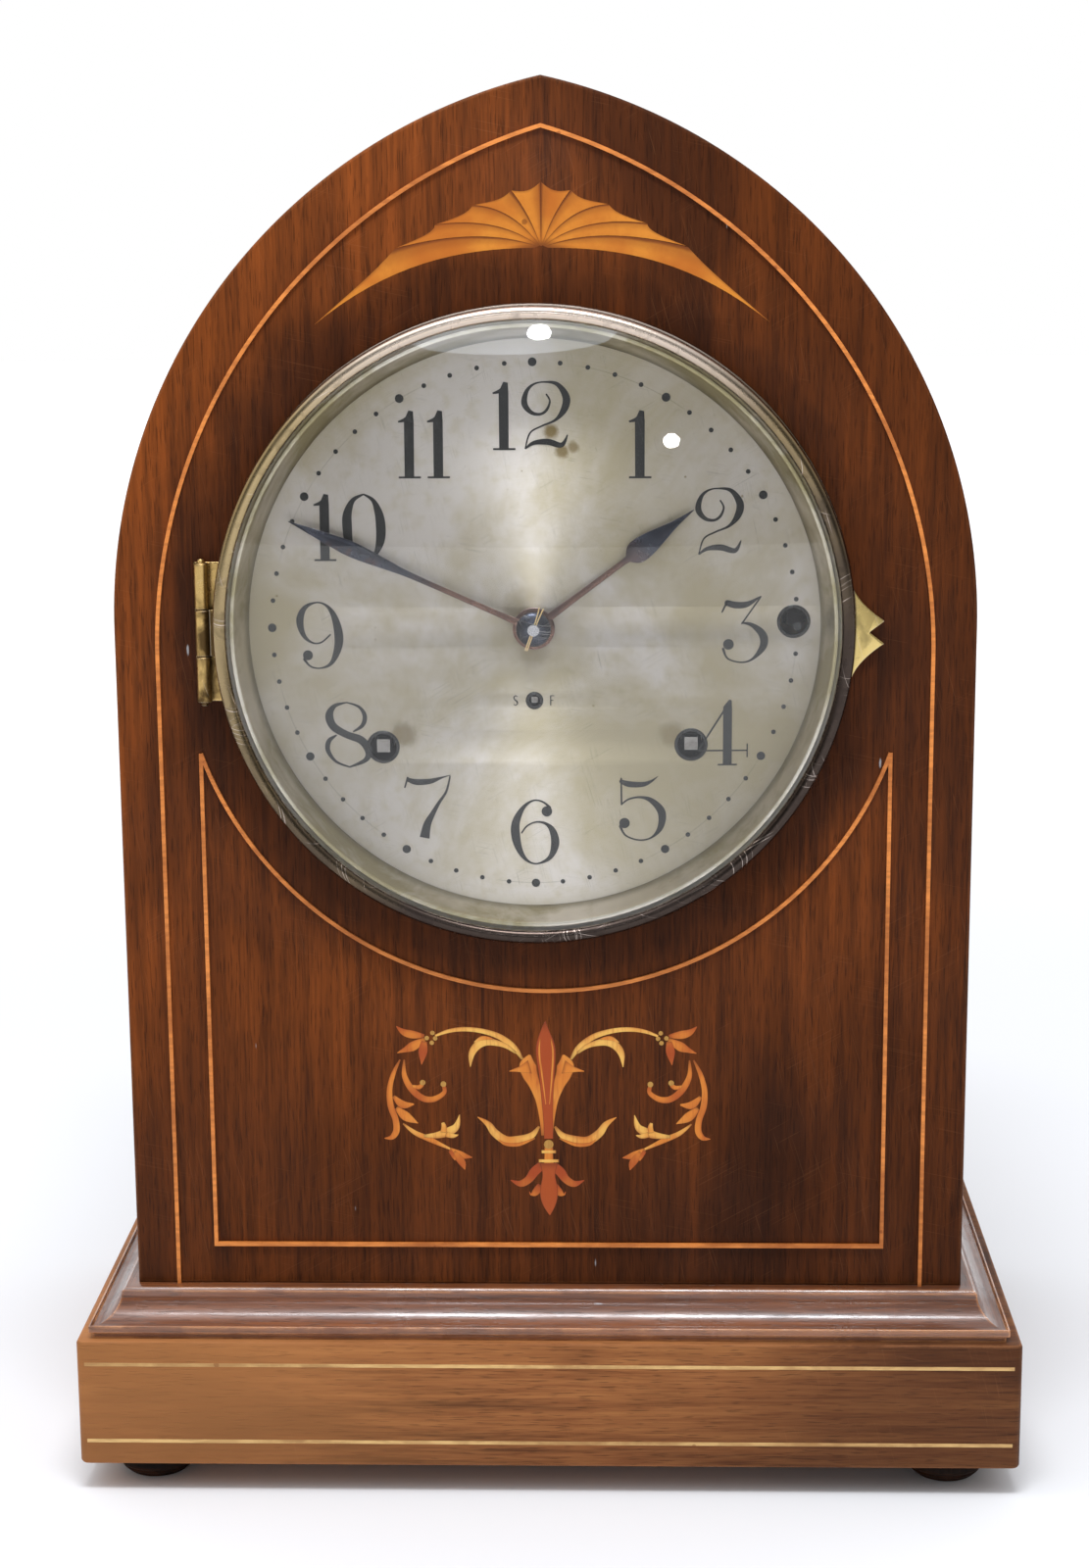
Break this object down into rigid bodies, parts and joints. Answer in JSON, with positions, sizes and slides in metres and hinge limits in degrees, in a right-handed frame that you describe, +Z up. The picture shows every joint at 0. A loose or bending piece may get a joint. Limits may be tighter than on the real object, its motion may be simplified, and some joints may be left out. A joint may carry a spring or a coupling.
{
  "type": "chiming clock",
  "caption": "Free-standing table clock with a pointed arch case on a moulded plinth, inlaid front, hinged round glazed bezel, silvered dial, spring-driven movements and nested bells",
  "frame": {"origin": "centre of the plinth's outline, on the floor", "axes": "X across the dial to its right, Y from the front to the back, Z up"},
  "size_m": [0.2514, 0.17, 0.37],
  "materials": {
    "mahogany_base": "polished horizontal grain, golden brown with dark patches",
    "mahogany_moulding": "polished, worn lighter along the edges",
    "ebonised_wood": "ebonised, turned",
    "mahogany_side": "polished veneer",
    "mahogany_front": "polished vertical grain, reddish brown",
    "mahogany_back": "plain waxed wood",
    "straw_stringing": "straw coloured line",
    "orange_stringing": "orange line",
    "satinwood": "golden blades shaded at the seams",
    "marquetry": "golden scrollwork with darker shading",
    "silvered_brass": "silvered, brushed, lightly scratched",
    "black_wax": "matt black filling",
    "black_enamel": "black",
    "tarnished_bezel": "plated brass, tarnished",
    "silvered_ring": "silvered and bright",
    "dial_glass": "clear convex glass",
    "hinge_brass": "aged",
    "blued_steel": "blued, browning near the hub",
    "dark_brass": "darkened",
    "pin_brass": "aged",
    "movement_brass": "lacquered",
    "arbor_steel": "turned and polished",
    "fixing_steel": "plain",
    "pendulum_brass": "polished",
    "hammer_steel": "plain",
    "pale_wood": "plain softwood",
    "bell_bronze": "turned, dull",
    "knob_brass": "polished"
  },
  "bodies": {
    "case": {"base_block": "mahogany_base", "base_moulding": "mahogany_moulding", "base_feet": "ebonised_wood", "case_shell": "mahogany_side", "front_panel": "mahogany_front", "back_frame": "mahogany_back", "base_stringing": "straw_stringing", "case_stringing": "orange_stringing", "fan_inlay": "satinwood", "scroll_inlay": "marquetry", "dial_plate": "silvered_brass", "dial_figures": "black_wax", "winding_eyelets": "black_enamel", "bezel_hinge_fixed_leaf": "hinge_brass", "movement_front_plate": "movement_brass", "movement_back_plate": "movement_brass", "movement_fixings": "fixing_steel", "suspension": "pin_brass", "chime_front_plate": "movement_brass", "chime_back_plate": "movement_brass", "chime_shelf": "pale_wood", "bells": "bell_bronze", "bell_stand": "pale_wood", "door_hinge_fixed_leaves": "hinge_brass"},
    "bezel": {"bezel_ring": "tarnished_bezel", "reflector_ring": "silvered_ring", "dial_glass": "dial_glass", "bezel_hinge_moving_leaf": "hinge_brass"},
    "rear_door": {"back_door": "mahogany_back", "door_knob": "knob_brass", "door_hinge_moving_leaves": "hinge_brass"},
    "minute_body": {"minute_hand": "blued_steel", "hand_washer": "dark_brass", "taper_pin": "pin_brass", "cannon_pipe": "movement_brass"},
    "hour_body": {"hour_hand": "blued_steel", "hour_wheel": "movement_brass"},
    "minute_wheel_body": {"minute_wheel": "movement_brass"},
    "regulator_body": {"regulator_arbor": "arbor_steel"},
    "time_barrel_body": {"time_barrel": "movement_brass"},
    "time_arbor_body": {"time_winding_arbor": "arbor_steel"},
    "second_body": {"time_second_wheel": "movement_brass"},
    "centre_body": {"centre_wheel": "movement_brass"},
    "third_body": {"third_wheel": "movement_brass"},
    "escape_body": {"escape_wheel": "movement_brass"},
    "verge_body": {"verge": "arbor_steel"},
    "pendulum_body": {"pendulum": "pendulum_brass"},
    "strike_barrel_body": {"strike_barrel": "movement_brass"},
    "strike_arbor_body": {"strike_winding_arbor": "arbor_steel"},
    "lifting_body": {"strike_lifting_wheel": "movement_brass"},
    "strike_fly_body": {"strike_fly": "movement_brass"},
    "strike_hammer_body": {"strike_hammer": "hammer_steel"},
    "chime_barrel_body": {"chime_barrel": "movement_brass"},
    "chime_arbor_body": {"chime_winding_arbor": "arbor_steel"},
    "drum_body": {"chime_pin_drum": "movement_brass"},
    "chime_fly_body": {"chime_fly": "movement_brass"},
    "hammer_body_1": {"chime_hammer_1": "hammer_steel"},
    "hammer_body_2": {"chime_hammer_2": "hammer_steel"},
    "hammer_body_3": {"chime_hammer_3": "hammer_steel"},
    "hammer_body_4": {"chime_hammer_4": "hammer_steel"}
  },
  "joints": [
    {"name": "bezel_hinge", "type": "hinge", "parent": "case", "child": "bezel", "pos_m": [-0.0872, -0.0739, 0.2328], "axis": [0, 0, -1], "range_deg": [0, 110]},
    {"name": "back_door_hinge", "type": "hinge", "parent": "case", "child": "rear_door", "pos_m": [0.0848, 0.0807, 0.2328], "axis": [0, 0, -1], "range_deg": [0, 100]},
    {"name": "minute_hand_turn", "type": "hinge", "parent": "case", "child": "minute_body", "pos_m": [-0.0025, -0.0697, 0.2328], "axis": [0, 1, 0], "continuous": true},
    {"name": "hour_hand_turn", "type": "hinge", "parent": "case", "child": "hour_body", "pos_m": [-0.0025, -0.0687, 0.2328], "axis": [0, 1, 0], "continuous": true},
    {"name": "minute_wheel_turn", "type": "hinge", "parent": "case", "child": "minute_wheel_body", "pos_m": [-0.01289, -0.0577, 0.2388], "axis": [0, 1, 0], "continuous": true},
    {"name": "regulator_turn", "type": "hinge", "parent": "case", "child": "regulator_body", "pos_m": [-0.0025, -0.0567, 0.2141], "axis": [0, 1, 0], "continuous": true},
    {"name": "time_arbor_turn", "type": "hinge", "parent": "case", "child": "time_arbor_body", "pos_m": [0.0374, -0.0517, 0.2025], "axis": [0, 1, 0], "continuous": true},
    {"name": "escape_wheel_turn", "type": "hinge", "parent": "case", "child": "escape_body", "pos_m": [-0.0025, -0.0217, 0.2658], "axis": [0, 1, 0], "continuous": true},
    {"name": "third_wheel_turn", "type": "hinge", "parent": "case", "child": "third_body", "pos_m": [-0.00503, -0.0267, 0.25089], "axis": [0, 1, 0], "continuous": true},
    {"name": "centre_wheel_turn", "type": "hinge", "parent": "case", "child": "centre_body", "pos_m": [-0.0025, -0.0167, 0.2328], "axis": [0, 1, 0], "continuous": true},
    {"name": "second_wheel_turn", "type": "hinge", "parent": "case", "child": "second_body", "pos_m": [0.01227, -0.0217, 0.21776], "axis": [0, 1, 0], "continuous": true},
    {"name": "time_barrel_turn", "type": "hinge", "parent": "case", "child": "time_barrel_body", "pos_m": [0.0374, -0.0367, 0.2025], "axis": [0, 1, 0], "continuous": true},
    {"name": "pendulum_swing", "type": "hinge", "parent": "case", "child": "pendulum_body", "pos_m": [-0.0025, -0.0017, 0.2828], "axis": [0, 1, 0], "range_deg": [-4, 4]},
    {"name": "verge_rock", "type": "hinge", "parent": "case", "child": "verge_body", "pos_m": [-0.0025, -0.0117, 0.2828], "axis": [0, 1, 0], "range_deg": [-4, 4]},
    {"name": "strike_arbor_turn", "type": "hinge", "parent": "case", "child": "strike_arbor_body", "pos_m": [-0.0414, -0.0517, 0.202], "axis": [0, 1, 0], "continuous": true},
    {"name": "lifting_wheel_turn", "type": "hinge", "parent": "case", "child": "lifting_body", "pos_m": [-0.03451, -0.0207, 0.22769], "axis": [0, 1, 0], "continuous": true},
    {"name": "strike_fly_turn", "type": "hinge", "parent": "case", "child": "strike_fly_body", "pos_m": [-0.03156, -0.0267, 0.24443], "axis": [0, 1, 0], "continuous": true},
    {"name": "strike_barrel_turn", "type": "hinge", "parent": "case", "child": "strike_barrel_body", "pos_m": [-0.0414, -0.0367, 0.202], "axis": [0, 1, 0], "continuous": true},
    {"name": "strike_hammer_lift", "type": "hinge", "parent": "case", "child": "strike_hammer_body", "pos_m": [-0.05251, -0.0227, 0.22579], "axis": [0, 1, 0], "range_deg": [0, 6], "stiffness_Nm_per_rad": 0.02, "springref_deg": -5.73},
    {"name": "chime_arbor_turn", "type": "hinge", "parent": "case", "child": "chime_arbor_body", "pos_m": [0.0633, -0.0117, 0.2341], "axis": [0, 1, 0], "continuous": true},
    {"name": "pin_drum_turn", "type": "hinge", "parent": "case", "child": "drum_body", "pos_m": [0.04279, 0.0333, 0.21563], "axis": [0, 1, 0], "continuous": true},
    {"name": "chime_fly_turn", "type": "hinge", "parent": "case", "child": "chime_fly_body", "pos_m": [0.02935, 0.0333, 0.22907], "axis": [0, 1, 0], "continuous": true},
    {"name": "chime_barrel_turn", "type": "hinge", "parent": "case", "child": "chime_barrel_body", "pos_m": [0.0633, 0.0283, 0.2341], "axis": [0, 1, 0], "continuous": true},
    {"name": "chime_hammer_lift_1", "type": "hinge", "parent": "case", "child": "hammer_body_1", "pos_m": [0.03045, 0.0223, 0.20092], "axis": [0, -1, 0], "range_deg": [0, 6], "stiffness_Nm_per_rad": 0.02, "springref_deg": -5.73},
    {"name": "chime_hammer_lift_2", "type": "hinge", "parent": "case", "child": "hammer_body_2", "pos_m": [0.03045, 0.0293, 0.20092], "axis": [0, -1, 0], "range_deg": [0, 6], "stiffness_Nm_per_rad": 0.02, "springref_deg": -5.73},
    {"name": "chime_hammer_lift_3", "type": "hinge", "parent": "case", "child": "hammer_body_3", "pos_m": [0.03045, 0.0363, 0.20092], "axis": [0, -1, 0], "range_deg": [0, 6], "stiffness_Nm_per_rad": 0.02, "springref_deg": -5.73},
    {"name": "chime_hammer_lift_4", "type": "hinge", "parent": "case", "child": "hammer_body_4", "pos_m": [0.03045, 0.0433, 0.20092], "axis": [0, -1, 0], "range_deg": [0, 6], "stiffness_Nm_per_rad": 0.02, "springref_deg": -5.73}
  ],
  "couplings": [
    {"joint": "hour_hand_turn", "follows": "minute_hand_turn", "ratio": 0.083333},
    {"joint": "minute_wheel_turn", "follows": "minute_hand_turn", "ratio": -0.33333},
    {"joint": "third_wheel_turn", "follows": "escape_wheel_turn", "ratio": -0.090909},
    {"joint": "centre_wheel_turn", "follows": "escape_wheel_turn", "ratio": 0.0079545},
    {"joint": "second_wheel_turn", "follows": "escape_wheel_turn", "ratio": -0.0019091},
    {"joint": "time_barrel_turn", "follows": "escape_wheel_turn", "ratio": 0.00031818},
    {"joint": "verge_rock", "follows": "pendulum_swing", "ratio": 1},
    {"joint": "strike_fly_turn", "follows": "lifting_wheel_turn", "ratio": -7.5},
    {"joint": "strike_barrel_turn", "follows": "lifting_wheel_turn", "ratio": -0.1875},
    {"joint": "chime_fly_turn", "follows": "pin_drum_turn", "ratio": -8.5},
    {"joint": "chime_barrel_turn", "follows": "pin_drum_turn", "ratio": -0.27778}
  ]
}
